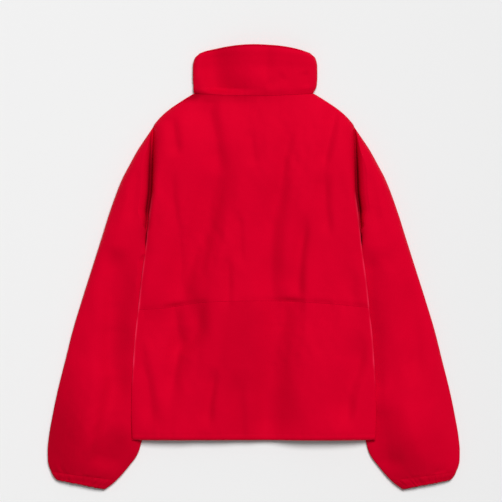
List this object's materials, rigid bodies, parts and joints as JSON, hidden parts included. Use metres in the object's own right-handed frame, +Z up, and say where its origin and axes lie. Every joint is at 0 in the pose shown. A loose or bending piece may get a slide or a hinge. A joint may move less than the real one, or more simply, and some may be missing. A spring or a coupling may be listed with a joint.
{
  "type": "stand collar jacket",
  "caption": "Light woven jacket with a tall stand collar, balloon sleeves gathered into elastic cuffs and an arched seam across the back, laid flat with its back up.",
  "frame": {"origin": "centre of the footprint, on the surface that the jacket rests on", "axes": "+Z up, out of the back of the jacket; +Y towards the collar; +X to the wearer's right"},
  "size_m": [0.7394, 0.801, 0.0245],
  "materials": {
    "shell_cloth": "matt satin plain-woven cloth",
    "casing_cloth": "the same cloth gathered over elastic"
  },
  "bodies": {
    "root": {"back_upper": "shell_cloth", "back_lower": "shell_cloth", "front_left": "shell_cloth", "front_right": "shell_cloth", "front_placket": "shell_cloth", "collar": "shell_cloth", "sleeve_left": "shell_cloth", "sleeve_right": "shell_cloth", "cuff_left": "casing_cloth", "cuff_right": "casing_cloth"}
  },
  "joints": []
}
